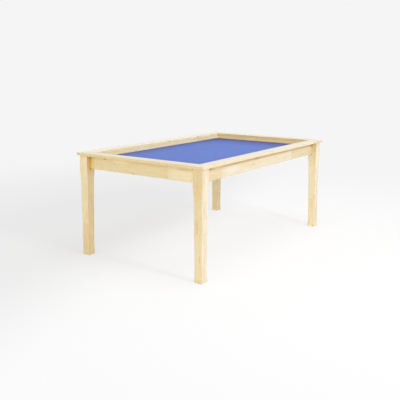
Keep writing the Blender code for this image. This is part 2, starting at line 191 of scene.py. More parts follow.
def finish_piece(piece, body, material, replaced=()):
    """Dress a new piece, and tie it to its CAD body and the nodes it stands for."""
    piece.data.materials.append(material)
    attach(piece, body)
    if replaced:
        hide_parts(*replaced)


# Pieces of the playing surface

CLOTH_EDGE_RADIUS = 0.0035
CLOTH_RETURN = 0.030
CLOTH_THICKNESS = 0.0010
RIPPLE_DEPTH = 0.00012
RIPPLE_REACH = 0.05
STAPLE_PITCH = 0.060
STAPLE_FROM_CUT = 0.007
STAPLE_PROUD = 0.0004
STAPLE_START, STAPLE_STOP = 0.02, 0.01
STAPLE_TO_BEARER = 0.01


def cloth_grid():
    """The cloth over its board, as one profile carried round the board's outline.

    The profile starts at the middle of the top, runs level to the edge, turns down over a quarter
    circle, turns under over another, and runs back by the return. Round the outline each profile
    point lies on a rectangle with round corners, shrunk by the profile's distance from the edge.
    Near the edge the staples draw the top down, by a small cosine of their pitch that fades inwards.
    """
    half_sizes = np.array((CLOTH_HIGH.x, CLOTH_HIGH.y))
    top, bottom = CLOTH_HIGH.z, CLOTH_LOW.z
    turn = np.linspace(0, np.pi / 2, 6)
    over_in = CLOTH_EDGE_RADIUS * (1 - np.sin(turn))
    over_z = top - CLOTH_EDGE_RADIUS * (1 - np.cos(turn))
    under_in = CLOTH_EDGE_RADIUS * (1 - np.cos(turn))
    under_z = bottom + CLOTH_EDGE_RADIUS * (1 - np.sin(turn))
    back_in = np.linspace(CLOTH_EDGE_RADIUS, CLOTH_RETURN, 8)[1:]
    inset = np.concatenate((over_in, under_in, back_in))
    height = np.concatenate((over_z, under_z, np.full(back_in.shape, bottom)))
    outline = rounded_loop(*half_sizes, 2 * CLOTH_EDGE_RADIUS, per_side=120)
    edge = outline * (1 - inset[:, None, None] / half_sizes)
    share = np.linspace(0, 1, 40)[:-1, None, None]
    level = edge[0] * share
    plan = np.concatenate((level, edge))
    stations = np.concatenate((np.full(len(share), top), height))
    lift = np.broadcast_to(stations[:, None], plan.shape[:2]).copy()
    run = np.hypot(*np.diff(np.vstack((outline, outline[:1])), axis=0).T).cumsum()
    ripple = RIPPLE_DEPTH * (1 - np.cos(2 * np.pi * run / STAPLE_PITCH))
    reach = np.clip(1 - np.abs(level - outline).max(axis=-1) / RIPPLE_REACH, 0, 1) ** 2
    lift[:len(share)] -= reach * ripple
    return np.concatenate((plan, lift[..., None]), axis=-1)[None]


def foam_grid():
    """The foam sheet: a rounded rectangle whose edge is a half circle, its faces run to the middle."""
    half_sizes = np.array((FOAM_HIGH.x, FOAM_HIGH.y))
    radius = (FOAM_HIGH.z - FOAM_LOW.z) / 2
    level = (FOAM_HIGH.z + FOAM_LOW.z) / 2
    turn = np.linspace(np.pi / 2, -np.pi / 2, 9)
    inset = radius * (1 - np.cos(turn))
    height = level + radius * np.sin(turn)
    outline = rounded_loop(*half_sizes, 2 * radius)
    edge = outline * (1 - inset[:, None, None] / half_sizes)
    share = np.linspace(0, 1, 12)[:-1, None, None]
    plan = np.concatenate((edge[0] * share, edge, edge[-1] * share[::-1]))
    stations = np.concatenate((np.full(len(share), height[0]), height, np.full(len(share), height[-1])))
    lift = np.broadcast_to(stations[:, None, None], (*plan.shape[:2], 1))
    return np.concatenate((plan, lift), axis=-1)[None]


def staple_grid():
    """One staple, crown up: a six-sided wire carried along a leg, the crown and the other leg.

    Each ring is its path point plus the wire's radius times (cos a * lean + sin a * y), where lean is
    level on the legs and slants at 45 degrees on the bends.
    """
    half_crown, sunk, wire_radius, slant = 0.0055, 0.0012, 0.0005, 0.7
    path = np.array((
        (-half_crown, 0, -sunk),
        (-half_crown, 0, 0),
        (half_crown, 0, 0),
        (half_crown, 0, -sunk),
    ))
    lean = np.array(((1, 0, 0), (slant, 0, slant), (-slant, 0, slant), (-1, 0, 0)))
    angle = np.linspace(0, 2 * np.pi, 6, endpoint=False)
    ring = np.cos(angle)[:, None] * lean[:, None] + np.sin(angle)[:, None] * np.array((0, 1, 0))
    return path[:, None] + wire_radius * ring


def staple_places():
    """Even steps along each returned edge, in from the cut edge of the cloth and clear of the bearers."""
    inset = CLOTH_RETURN - STAPLE_FROM_CUT
    level = CLOTH_LOW.z - STAPLE_PROUD
    reach_x = CLOTH_HIGH.x - inset
    reach_y = CLOTH_HIGH.y - inset
    steps_x = np.arange(-reach_x + STAPLE_START, reach_x - STAPLE_STOP, STAPLE_PITCH)
    steps_y = np.arange(-reach_y + STAPLE_START, reach_y - STAPLE_STOP, STAPLE_PITCH)
    for number in BEARERS:
        low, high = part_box(f"bearer_{number}")
        steps_x = steps_x[(steps_x < low.x - STAPLE_TO_BEARER) | (steps_x > high.x + STAPLE_TO_BEARER)]
    long_edges = [(step, sign * reach_y, level) for sign in (-1, 1) for step in steps_x]
    short_edges = [(sign * reach_x, step, level) for sign in (-1, 1) for step in steps_y]
    flip = np.diag((1.0, -1.0, -1.0))
    quarter = np.array(((0.0, 1.0, 0.0), (1.0, 0.0, 0.0), (0.0, 0.0, -1.0)))
    return [flip] * len(long_edges) + [quarter] * len(short_edges), long_edges + short_edges


# Fasteners of the frame

SCREW_HEAD = 0.0038
SCREW_HEIGHT = 0.0022
SCREW_CROWN = 0.75
SCREW_SEAT = 0.0003
RECESS_DEPTH = 0.0013
RECESS_REACH = 0.6
BRACKET_TAB_ALONG, BRACKET_TAB_FACE, BRACKET_SCREW_SPREAD = 0.121, 0.0703, 0.0085
LEDGER_SCREW_PITCH = 0.28
BEARER_NEAR, BEARER_STEP_ASIDE = 0.04, 0.05
BEARER_SCREW_INSET = 0.010
BOLT_RADIUS = 0.004
THREAD_PITCH = 0.00125
THREAD_DEPTH = 0.0006
RINGS_PER_THREAD = 5
BOLT_CONE, BOLT_TIP = 0.0012, 0.7


def screw_grid():
    """One pan head of radius R and height H, as rings: H * sqrt(1 - crown * (r / R)^2), less a cross
    recess. The recess is full at the middle, follows cos(2 a)^8 round the rings, and fades out at its
    reach. The last ring drops to the seat."""
    share = np.array((0, 0.18, 0.36, 0.52, 0.66, 0.85, 1.0, 1.0))[:, None]
    angle = np.linspace(0, 2 * np.pi, 24, endpoint=False)
    height = SCREW_HEIGHT * np.sqrt(1 - SCREW_CROWN * share ** 2)
    height[-1] = -SCREW_SEAT
    fade = np.clip(2 * (1 - share / RECESS_REACH), 0, 1)
    cross = np.where(share > 0, np.cos(2 * angle) ** 8, 1)
    level = height - RECESS_DEPTH * fade * cross
    radius = SCREW_HEAD * share
    return np.stack((radius * np.cos(angle), radius * np.sin(angle), level), axis=-1)


def bracket_screw_places(sign_x, sign_y):
    """Two heads on each of a bracket's tabs, one over the other, facing the middle of the table."""
    turns = []
    places = []
    for level in (BOLT_LEVEL - BRACKET_SCREW_SPREAD, BOLT_LEVEL + BRACKET_SCREW_SPREAD):
        turns.append(facing((0, -sign_y, 0)))
        places.append((*at_corner(sign_x, sign_y, BRACKET_TAB_ALONG, BRACKET_TAB_FACE), level))
        turns.append(facing((-sign_x, 0, 0)))
        places.append((*at_corner(sign_x, sign_y, BRACKET_TAB_FACE, BRACKET_TAB_ALONG), level))
    return turns, places


def ledger_screw_places(side):
    """Heads in an even row along a ledger's inner face, at half its height, stepped aside at a bearer."""
    low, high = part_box(f"ledger_{side}")
    axis = X if side in ("front", "back") else Y
    inwards = {"front": (0, 1, 0), "back": (0, -1, 0), "left": (1, 0, 0), "right": (-1, 0, 0)}[side]
    count = round((high[axis] - low[axis]) / LEDGER_SCREW_PITCH)
    steps = low[axis] + (high[axis] - low[axis]) * (np.arange(count) + 0.5) / count
    if axis == X:
        bearers = np.array([sum(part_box(f"bearer_{number}"), Vector()).x / 2 for number in BEARERS])
        near = np.abs(steps[:, None] - bearers).min(axis=1) < BEARER_NEAR
        steps = np.where(near, steps + BEARER_STEP_ASIDE, steps)
    face = {"front": high.y, "back": low.y, "left": high.x, "right": low.x}[side]
    level = (low.z + high.z) / 2
    places = [(step, face, level) if axis == X else (face, step, level) for step in steps]
    return [facing(inwards)] * count, places


def bearer_screw_places(number):
    """One head under each end of a bearer, up through the half lap into the ledger."""
    low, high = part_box(f"bearer_{number}")
    middle = (low.x + high.x) / 2
    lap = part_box("ledger_front")[1].y - BEARER_SCREW_INSET
    return [facing((0, 0, -1))] * 2, [(middle, lap, low.z), (middle, -lap, low.z)]


def bolt_grid(sign_x, sign_y, start, end):
    """A threaded rod on a corner's diagonal: its radius less the thread's depth times a triangle wave of
    the turns travelled minus the angle, which makes one helix. Both ends close at a short cone."""
    along = np.arange(start, end, THREAD_PITCH / RINGS_PER_THREAD)
    angle = np.linspace(0, 2 * np.pi, 20, endpoint=False)
    phase = (along[:, None] / THREAD_PITCH - angle / (2 * np.pi)) % 1
    depth = THREAD_DEPTH * np.abs(2 * phase - 1)
    taper = np.clip(np.minimum(along - start, end - along) / BOLT_CONE, 0, 1)[:, None]
    radius = (BOLT_RADIUS - depth) * (BOLT_TIP + (1 - BOLT_TIP) * taper)
    radius[[0, -1]] = 0
    sideways = np.array((sign_x, -sign_y, 0)) / math.sqrt(2)
    upwards = np.array((0, 0, 1))
    corner = np.array((sign_x * HALF_LENGTH, sign_y * HALF_WIDTH, BOLT_LEVEL))
    inwards = -np.array((sign_x, sign_y, 0)) / math.sqrt(2)
    axis = corner + along[:, None, None] * inwards
    ring = np.cos(angle)[:, None] * sideways + np.sin(angle)[:, None] * upwards
    return (axis + radius[..., None] * ring)[None]


# Materials

# Marks along the wood's grain, as width, length, noise detail, noise roughness, noise distortion and the
# noise levels between which a mark fades in. Real grain lines are about 2 mm wide and real vessel lines
# 0.3 mm, too fine to show, so both are drawn wider here. The figure is a slow wave and doesn't fade.
WOOD_MARKS = {
    "grain": (0.011, 0.18, 3.0, 0.6, 0.5, (0.35, 0.72)),
    "figure": (0.035, 0.5, 1.0, 0.5, 0.0, None),
    "vessels": (0.003, 0.035, 0.0, 0.5, 0.0, (0.60, 0.76)),
    "streaks": (0.009, 0.08, 1.0, 0.5, 0.0, (0.66, 0.76)),
}
# Fingers are 4 mm apart in truth, and glue lines hairlines; both are drawn coarser, so that they show
FINGER_PITCH, FINGER_LENGTH = 0.010, 0.012
GLUE_LINE = 0.002
# The last of these colours is the amber of the painted shade in inner corners
LATE_WOOD, VESSEL, STREAK, GLUE, CORNER_SHADE = "#D2A862", "#A87B45", "#9C6E3C", "#A87B45", "#CC9A10"
# Where on the scale of chance each of a wood's five tones lies
TONE_STOPS = (0.0, 0.25, 0.6, 0.85, 1.0)
# How far apart the boards' block numbers start, and how far apart the blocks lie in the noise
BOARD_STRIDE = 37.0
NOISE_SHIFT = (40.0, 40.0, 40.0)
# How much a face looks along its axis as its painted light comes in, and how far it leans to that paler
# colour
LIT_FROM, LIT_TO, LIT_SHARE = 0.4, 0.8, 0.55
# How open a corner is where its painted shade is fully amber, and over what height that painted shade comes
# in
SHADE_OPENNESS, SHADE_RISE = 0.66, 0.02
# A single mark keeps its full depth out to this share of its size
MARK_CORE = 0.35


def grain_scale(grain, width, length):
    """Scale on each axis for a pattern that is this wide across the grain and this long along it."""
    scale = [1 / width] * 3
    scale[grain] = 1 / length
    return scale


def finger_jointed_rubberwood(
    name, grain, strip, layer, block, stagger, palette, draw, corner_shade=None, other_cut=None, knots_and_shade=(),
):
    """Rubberwood, finger-jointed from short blocks, sanded and sprayed with a clear satin lacquer.

    To the eye it is a pale straw wood: neighbouring blocks differ a little in tone, fine straight
    grain runs along each block with short brown vessel lines, and the lacquer gives a soft sheen.
    Blocks are cells: strips across the grain, layers, and lengths. strip and layer are (axis, start,
    width), block is a block's length, and stagger is the share of a block by which the joints step
    from strip to strip, from board to board, and at the start. other_cut is (axis, hex): painted
    light, faces that look along that axis lean to that paler colour. draw picks another chance order
    of tones. corner_shade is (reach, depth, level): painted shade, inner corners above that level go
    amber. knots_and_shade are single marks: the wood's knots and flecks, and dots, streaks and
    patches of painted shade and painted light.
    """
    material, tree = new_material(f"rubberwood_finger_jointed_lacquered_{name}")
    place = wire(tree, "ShaderNodeTexCoord", out="Object")
    parts = wire(tree, "ShaderNodeSeparateXYZ", {0: place}).node.outputs
    strip_axis, layer_axis = strip[0], layer[0]
    third_axis = X + Y + Z - grain - strip_axis

    # Strips and layers are counted from their start, and boards told apart by their side of the table
    across = wire(tree, "ShaderNodeMath", {0: parts[strip_axis]}, operation="ABSOLUTE")
    counts = []
    for position, start, width in ((across, *strip[1:]), (parts[layer_axis], *layer[1:])):
        count = wire(tree, "ShaderNodeMath", {0: position, 1: start}, operation="SUBTRACT")
        count = wire(tree, "ShaderNodeMath", {0: count, 1: width}, operation="DIVIDE")
        counts.append(wire(tree, "ShaderNodeMath", {0: count}, operation="FLOOR"))
    strip_index, layer_index = counts
    side = wire(tree, "ShaderNodeMath", {0: parts[strip_axis]}, operation="FLOOR")
    other_side = wire(tree, "ShaderNodeMath", {0: parts[third_axis]}, operation="FLOOR")
    board = wire(tree, "ShaderNodeMath", {0: side, 1: 2.0, 2: other_side}, operation="MULTIPLY_ADD")

    # Blocks are counted along the grain, with zigzag ends for the fingers
    strip_step, board_step, first_step = stagger
    step = wire(
        tree, "ShaderNodeMath", {0: strip_index, 1: strip_step, 2: first_step}, operation="MULTIPLY_ADD",
    )
    step = wire(tree, "ShaderNodeMath", {0: board, 1: board_step, 2: step}, operation="MULTIPLY_ADD")
    width_sum = wire(tree, "ShaderNodeMath", {0: parts[strip_axis], 1: parts[layer_axis]}, operation="ADD")
    finger = wire(tree, "ShaderNodeMath", {0: width_sum, 1: FINGER_PITCH / 2}, operation="PINGPONG")
    slope = FINGER_LENGTH / (FINGER_PITCH / 2)
    along = wire(tree, "ShaderNodeMath", {0: finger, 1: slope, 2: parts[grain]}, operation="MULTIPLY_ADD")
    along = wire(tree, "ShaderNodeMath", {0: along, 1: block}, operation="DIVIDE")
    along = wire(tree, "ShaderNodeMath", {0: along, 1: step}, operation="ADD")
    block_index = wire(tree, "ShaderNodeMath", {0: along}, operation="FLOOR")

    # Each block draws its tone by chance
    board = wire(tree, "ShaderNodeMath", {0: board, 1: draw}, operation="ADD")
    block_id = wire(
        tree, "ShaderNodeMath", {0: board, 1: BOARD_STRIDE, 2: block_index}, operation="MULTIPLY_ADD",
    )
    cell = wire(tree, "ShaderNodeCombineXYZ", {0: block_id, 1: strip_index, 2: layer_index})
    chance = wire(tree, "ShaderNodeTexWhiteNoise", {0: cell}, out="Color", noise_dimensions="3D")
    pick = wire(tree, "ShaderNodeSeparateColor", {0: chance})
    paint = tones(wire(tree, "ShaderNodeValToRGB", {0: pick}), tuple(zip(TONE_STOPS, palette)))
    # Painted light: faces that look along the given axis are painted paler, towards the given colour
    if other_cut is not None:
        lit_axis, lit_tone = other_cut
        looks = wire(tree, "ShaderNodeNewGeometry", out="True Normal")
        looks = wire(tree, "ShaderNodeSeparateXYZ", {0: looks}, out=lit_axis)
        looks = wire(tree, "ShaderNodeMath", {0: looks}, operation="ABSOLUTE")
        looks = wire(
            tree, "ShaderNodeMapRange", {0: looks, 1: LIT_FROM, 2: LIT_TO, 3: 0.0, 4: LIT_SHARE},
        )
        paint = wire(
            tree, "ShaderNodeMix", {"Factor": looks, 6: paint, 7: colour(lit_tone)}, out=2, data_type="RGBA",
        )

    # Grain, figure, vessels and streaks start elsewhere in each block
    offset = wire(tree, "ShaderNodeVectorMath", {0: chance, 1: NOISE_SHIFT}, operation="MULTIPLY")
    marks = {}
    for mark, (width, length, detail, roughness, distortion, fade) in WOOD_MARKS.items():
        spread = wire(
            tree, "ShaderNodeVectorMath", {0: place, 1: grain_scale(grain, width, length), 2: offset},
            operation="MULTIPLY_ADD",
        )
        marks[mark] = wire(
            tree, "ShaderNodeTexNoise",
            {
                "Vector": spread, "Scale": 1.0, "Detail": detail, "Roughness": roughness,
                "Distortion": distortion,
            },
        )
        if fade is not None:
            marks[mark] = wire(
                tree, "ShaderNodeMapRange", {0: marks[mark], 1: fade[0], 2: fade[1]},
                interpolation_type="SMOOTHSTEP",
            )
    shade = wire(tree, "ShaderNodeMath", {0: marks["grain"], 1: 0.28}, operation="MULTIPLY")
    shade = wire(tree, "ShaderNodeMath", {0: marks["figure"], 1: 0.10, 2: shade}, operation="MULTIPLY_ADD")

    # Glue lines at the block ends
    end_gap = wire(tree, "ShaderNodeMath", {0: along, 1: 0.5}, operation="PINGPONG")
    end_line = wire(tree, "ShaderNodeMapRange", {0: end_gap, 1: 0.0, 2: GLUE_LINE / block, 3: 1.0, 4: 0.0})

    # What lies over the blocks' own tone, in order, as where, how strong and which colour
    layers = [
        (shade, 1.0, LATE_WOOD),
        (marks["vessels"], 0.12, VESSEL),
        (marks["streaks"], 0.35, STREAK),
        (end_line, 0.30, GLUE),
    ]
    # Painted shade: inner corners, where less is open, go amber above the given level
    if corner_shade is not None:
        reach, amber, level = corner_shade
        openness = wire(tree, "ShaderNodeAmbientOcclusion", {"Distance": reach}, out="AO", samples=16)
        corner = wire(
            tree, "ShaderNodeMapRange", {0: openness, 1: 1.0, 2: SHADE_OPENNESS},
            interpolation_type="SMOOTHSTEP",
        )
        high_up = wire(tree, "ShaderNodeMapRange", {0: parts[Z], 1: level, 2: level + SHADE_RISE})
        corner = wire(tree, "ShaderNodeMath", {0: corner, 1: high_up}, operation="MULTIPLY")
        layers.append((corner, amber, CORNER_SHADE))
    for spot, width, length, depth, tint in knots_and_shade:
        away = wire(tree, "ShaderNodeVectorMath", {0: place, 1: spot}, operation="SUBTRACT")
        away = wire(
            tree, "ShaderNodeVectorMath", {0: away, 1: grain_scale(grain, width, length)},
            operation="MULTIPLY",
        )
        away = wire(tree, "ShaderNodeVectorMath", {0: away}, out="Value", operation="LENGTH")
        oval = wire(
            tree, "ShaderNodeMapRange", {0: away, 1: MARK_CORE, 2: 1.0, 3: 1.0, 4: 0.0},
            interpolation_type="SMOOTHSTEP",
        )
        layers.append((oval, depth, tint))
    for where, strength, tint in layers:
        amount = wire(tree, "ShaderNodeMath", {0: where, 1: strength}, operation="MULTIPLY")
        paint = wire(
            tree, "ShaderNodeMix", {"Factor": amount, 6: paint, 7: colour(tint)}, out=2, data_type="RGBA",
        )

    gloss = wire(tree, "ShaderNodeMapRange", {0: marks["vessels"], 3: 0.36, 4: 0.52})
    relief = wire(
        tree, "ShaderNodeMath", {0: marks["vessels"], 1: -0.6, 2: marks["grain"]}, operation="MULTIPLY_ADD",
    )
    bump = wire(tree, "ShaderNodeBump", {"Strength": 0.12, "Distance": 0.0004, "Height": relief})
    shader = wire(
        tree, "ShaderNodeBsdfPrincipled",
        {
            "Base Color": paint, "Roughness": gloss, "IOR": 1.5, "Coat Weight": 1.0, "Coat Roughness": 0.15,
            "Normal": bump,
        },
    )
    wire(tree, "ShaderNodeOutputMaterial", {"Surface": shader})
    return material


def planed_pine(name, grain):
    """Pine, planed and left bare: yellow, with straight amber late-wood lines, dull, a few pin knots.

    The late-wood lines are 6 mm wide and 400 mm long; there is a pin knot in about 50 x 90 mm.
    """
    material, tree = new_material(f"pine_planed_bare_{name}")
    place = wire(tree, "ShaderNodeTexCoord", out="Object")
    spread = wire(
        tree, "ShaderNodeVectorMath", {0: place, 1: grain_scale(grain, 0.006, 0.4)}, operation="MULTIPLY",
    )
    rings = wire(
        tree, "ShaderNodeTexNoise", {"Vector": spread, "Scale": 1.0, "Detail": 2.0, "Distortion": 0.3},
    )
    paint = tones(
        wire(tree, "ShaderNodeValToRGB", {0: rings}),
        ((0.3, "#E2C48E"), (0.5, "#D8B377"), (0.62, "#C79656"), (0.75, "#DDBB82")),
    )
    spread = wire(
        tree, "ShaderNodeVectorMath", {0: place, 1: grain_scale(grain, 0.05, 0.09)}, operation="MULTIPLY",
    )
    knot = wire(tree, "ShaderNodeTexVoronoi", {"Vector": spread, "Scale": 1.0})
    knot = wire(tree, "ShaderNodeMapRange", {0: knot, 1: 0.05, 2: 0.12, 3: 0.7, 4: 0.0})
    paint = wire(
        tree, "ShaderNodeMix", {"Factor": knot, 6: paint, 7: colour("#7C4A22")}, out=2, data_type="RGBA",
    )
    bump = wire(tree, "ShaderNodeBump", {"Strength": 0.2, "Distance": 0.0004, "Height": rings})
    rough = wire(tree, "ShaderNodeMapRange", {0: rings, 3: 0.62, 4: 0.78})
    shader = wire(
        tree, "ShaderNodeBsdfPrincipled",
        {"Base Color": paint, "Roughness": rough, "IOR": 1.5, "Normal": bump},
    )
    wire(tree, "ShaderNodeOutputMaterial", {"Surface": shader})
    return material


def birch_plywood():
    """Birch plywood, peeled and sanded: a pale face with wavy figure 50 mm wide and 600 mm long, and
    1.5 mm plies at the edge."""
    ply_thickness = 0.0015
    material, tree = new_material("birch_plywood_sanded")
    place = wire(tree, "ShaderNodeTexCoord", out="Object")
    spread = wire(
        tree, "ShaderNodeVectorMath", {0: place, 1: grain_scale(X, 0.05, 0.6)}, operation="MULTIPLY",
    )
    figure = wire(
        tree, "ShaderNodeTexNoise", {"Vector": spread, "Scale": 1.0, "Detail": 2.0, "Distortion": 1.2},
    )
    rings = wire(tree, "ShaderNodeMath", {0: figure, 1: 6.0}, operation="MULTIPLY")
    rings = wire(tree, "ShaderNodeMath", {0: rings, 1: 0.5}, operation="PINGPONG")
    paint = tones(
        wire(tree, "ShaderNodeValToRGB", {0: rings}),
        ((0.0, "#E3CDA3"), (0.3, "#DCC193"), (0.5, "#CFAE7B")),
    )
    upright = wire(tree, "ShaderNodeSeparateXYZ", {0: place}, out=Z)
    ply = wire(tree, "ShaderNodeMath", {0: upright, 1: ply_thickness}, operation="PINGPONG")
    ply = wire(tree, "ShaderNodeMath", {0: ply, 1: ply_thickness / 2}, operation="GREATER_THAN")
    edge = wire(tree, "ShaderNodeNewGeometry", out="True Normal")
    edge = wire(tree, "ShaderNodeSeparateXYZ", {0: edge}, out=Z)
    edge = wire(tree, "ShaderNodeMath", {0: edge}, operation="ABSOLUTE")
    edge = wire(tree, "ShaderNodeMath", {0: edge, 1: 0.5}, operation="LESS_THAN")
    ply = wire(tree, "ShaderNodeMath", {0: ply, 1: edge}, operation="MULTIPLY")
    ply = wire(tree, "ShaderNodeMath", {0: ply, 1: 0.6}, operation="MULTIPLY")
    paint = wire(
        tree, "ShaderNodeMix", {"Factor": ply, 6: paint, 7: colour("#8A6237")}, out=2, data_type="RGBA",
    )
    bump = wire(tree, "ShaderNodeBump", {"Strength": 0.08, "Distance": 0.0003, "Height": rings})
    rough = wire(tree, "ShaderNodeMapRange", {0: figure, 3: 0.5, 4: 0.68})
    shader = wire(
        tree, "ShaderNodeBsdfPrincipled",
        {"Base Color": paint, "Roughness": rough, "IOR": 1.5, "Normal": bump},
    )
    wire(tree, "ShaderNodeOutputMaterial", {"Surface": shader})
    return material


def brushed_blue_cloth():
    """Polyester cloth, woven and brushed: an even blue with a soft nap that lightens it at a low angle.

    Threads are 0.7 mm apart in truth and 3 mm apart here, so that the weave can be seen close to;
    the nap lies a little differently in patches of 30 to 120 mm, which gives the faint clouding.
    Beside the well's walls and towards the far short end it is painted darker: painted shade.
    """
    thread_gap, cloud_width, fluff_width, wall_reach = 0.003, 0.06, 0.004, 0.2
    material, tree = new_material("polyester_cloth_woven_brushed_blue")
    place = wire(tree, "ShaderNodeTexCoord", out="Object")
    clouds = wire(
        tree, "ShaderNodeTexNoise",
        {"Vector": place, "Scale": 1 / cloud_width, "Detail": 3.0, "Roughness": 0.6},
    )
    fluff = wire(tree, "ShaderNodeTexNoise", {"Vector": place, "Scale": 1 / fluff_width, "Detail": 2.0})
    parts = wire(tree, "ShaderNodeSeparateXYZ", {0: place}).node.outputs
    threads = []
    for axis in (X, Y):
        phase = wire(
            tree, "ShaderNodeMath", {0: parts[axis], 1: 2 * math.pi / thread_gap}, operation="MULTIPLY",
        )
        threads.append(wire(tree, "ShaderNodeMath", {0: phase}, operation="SINE"))
    weave = wire(tree, "ShaderNodeMath", {0: threads[0], 1: threads[1]}, operation="MULTIPLY")
    nap = wire(tree, "ShaderNodeMath", {0: fluff, 1: 0.35, 2: clouds}, operation="MULTIPLY_ADD")
    nap = wire(tree, "ShaderNodeMath", {0: weave, 1: 0.04, 2: nap}, operation="MULTIPLY_ADD")
    paint = tones(
        wire(tree, "ShaderNodeValToRGB", {0: nap}),
        ((0.40, "#4060B5"), (0.66, "#4565B9"), (0.92, "#4A6ABC")),
    )

    # Painted shade: darker beside the walls, where less is open, and over the last stretch of the far end
    openness = wire(tree, "ShaderNodeAmbientOcclusion", {"Distance": wall_reach}, out="AO", samples=16)
    wall_shade = wire(tree, "ShaderNodeMapRange", {0: openness, 1: 0.995, 2: 0.90, 3: 0.0, 4: 0.7})
    far_end_shade = wire(tree, "ShaderNodeMapRange", {0: parts[X], 1: 0.45, 2: 0.78, 3: 0.0, 4: 0.75})
    shade = wire(tree, "ShaderNodeMath", {0: wall_shade, 1: far_end_shade}, operation="ADD", use_clamp=True)
    paint = wire(
        tree, "ShaderNodeMix", {"Factor": shade, 6: paint, 7: colour("#20247A")}, out=2, data_type="RGBA",
    )

    height = wire(tree, "ShaderNodeMath", {0: fluff, 1: 1.5, 2: weave}, operation="MULTIPLY_ADD")
    bump = wire(tree, "ShaderNodeBump", {"Strength": 0.25, "Distance": 0.0006, "Height": height})
    rough = wire(tree, "ShaderNodeMapRange", {0: fluff, 3: 0.82, 4: 0.98})
    shader = wire(
        tree, "ShaderNodeBsdfPrincipled",
        {
            "Base Color": paint, "Roughness": rough, "IOR": 1.45, "Specular IOR Level": 0.3,
            "Sheen Weight": 0.25, "Sheen Roughness": 0.5, "Sheen Tint": colour("#C9D2F2"), "Normal": bump,
        },
    )
    wire(tree, "ShaderNodeOutputMaterial", {"Surface": shader})
    return material


def closed_cell_foam():
    """Polyethylene foam, extruded: dull charcoal with a skin of small rounded cells, 4 mm wide here."""
    cell_width = 0.004
    material, tree = new_material("polyethylene_foam_extruded")
    place = wire(tree, "ShaderNodeTexCoord", out="Object")
    cells = wire(tree, "ShaderNodeTexVoronoi", {"Vector": place, "Scale": 1 / cell_width})
    paint = tones(wire(tree, "ShaderNodeValToRGB", {0: cells}), ((0.1, "#4A4B4E"), (0.7, "#37383B")))
    rough = wire(tree, "ShaderNodeMapRange", {0: cells, 3: 0.7, 4: 0.9})
    bump = wire(tree, "ShaderNodeBump", {"Strength": 0.5, "Distance": 0.0008, "Height": cells})
    shader = wire(
        tree, "ShaderNodeBsdfPrincipled",
        {"Base Color": paint, "Roughness": rough, "IOR": 1.5, "Normal": bump},
    )
    wire(tree, "ShaderNodeOutputMaterial", {"Surface": shader})
    return material


def zinc_plated_steel():
    """Pressed steel, bright zinc plated: a cool grey metal with faint cloudy crystals 12 mm wide and fine
    draw lines 0.8 mm apart."""
    crystal_width, line_gap, line_length = 0.012, 0.0008, 0.03
    material, tree = new_material("steel_pressed_zinc_plated")
    place = wire(tree, "ShaderNodeTexCoord", out="Object")
    clouds = wire(tree, "ShaderNodeTexNoise", {"Vector": place, "Scale": 1 / crystal_width, "Detail": 4.0})
    paint = tones(
        wire(tree, "ShaderNodeValToRGB", {0: clouds}),
        ((0.35, "#AEB2B8"), (0.55, "#C4C8CC"), (0.7, "#CDCBBE")),
    )
    spread = wire(
        tree, "ShaderNodeVectorMath", {0: place, 1: grain_scale(Z, line_length, line_gap)},
        operation="MULTIPLY",
    )
    draw_lines = wire(tree, "ShaderNodeTexNoise", {"Vector": spread, "Scale": 1.0, "Detail": 1.0})
    rough = wire(tree, "ShaderNodeMapRange", {0: clouds, 3: 0.25, 4: 0.5})
    bump = wire(tree, "ShaderNodeBump", {"Strength": 0.1, "Distance": 0.0002, "Height": draw_lines})
    shader = wire(
        tree, "ShaderNodeBsdfPrincipled",
        {"Base Color": paint, "Metallic": 1.0, "Roughness": rough, "Normal": bump},
    )
    wire(tree, "ShaderNodeOutputMaterial", {"Surface": shader})
    return material


def moulded_nylon():
    """Nylon, moulded: milky white with a fine spark-eroded grain and scuffs, half matt."""
    grit_width, scuff_width = 0.0015, 0.012
    material, tree = new_material("nylon_moulded_white")
    place = wire(tree, "ShaderNodeTexCoord", out="Object")
    grit = wire(tree, "ShaderNodeTexNoise", {"Vector": place, "Scale": 1 / grit_width, "Detail": 2.0})
    scuff = wire(tree, "ShaderNodeTexNoise", {"Vector": place, "Scale": 1 / scuff_width, "Detail": 3.0})
    paint = tones(wire(tree, "ShaderNodeValToRGB", {0: scuff}), ((0.35, "#D6D3C9"), (0.6, "#E4E2DA")))
    rough = wire(tree, "ShaderNodeMapRange", {0: grit, 3: 0.42, 4: 0.6})
    bump = wire(tree, "ShaderNodeBump", {"Strength": 0.15, "Distance": 0.0002, "Height": grit})
    shader = wire(
        tree, "ShaderNodeBsdfPrincipled",
        {"Base Color": paint, "Roughness": rough, "IOR": 1.53, "Normal": bump},
    )
    wire(tree, "ShaderNodeOutputMaterial", {"Surface": shader})
    return material


